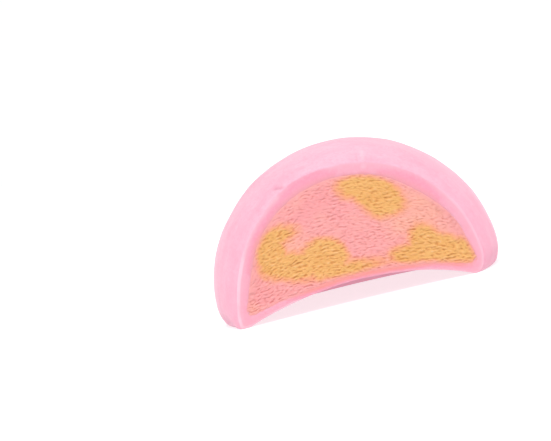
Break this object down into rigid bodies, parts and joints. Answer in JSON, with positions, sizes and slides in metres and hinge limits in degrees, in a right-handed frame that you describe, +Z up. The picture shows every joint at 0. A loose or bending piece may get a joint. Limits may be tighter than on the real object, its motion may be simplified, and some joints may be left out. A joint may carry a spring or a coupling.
{
  "type": "mochi rice cake",
  "caption": "Soft pink rice-dough dome with a slice cut off its front, which shows the thin skin and the marbled ice cream filling; it stands on an arched base.",
  "frame": {"origin": "centre of the bounding box at the level of the foot ring, which is what the cake stands on", "axes": "+Z up; the flat cut face looks towards -Y; +X is to the right of someone who looks at the cut face"},
  "size_m": [0.05, 0.0386, 0.0273],
  "materials": {
    "rice_dough": "matte pink rice dough with a light dusting of starch",
    "ice_cream": "matte salmon pink ice cream, finely wrinkled, with soft yellow patches"
  },
  "bodies": {
    "root": {"mochi_skin": "rice_dough", "ice_cream": "ice_cream"}
  },
  "joints": []
}
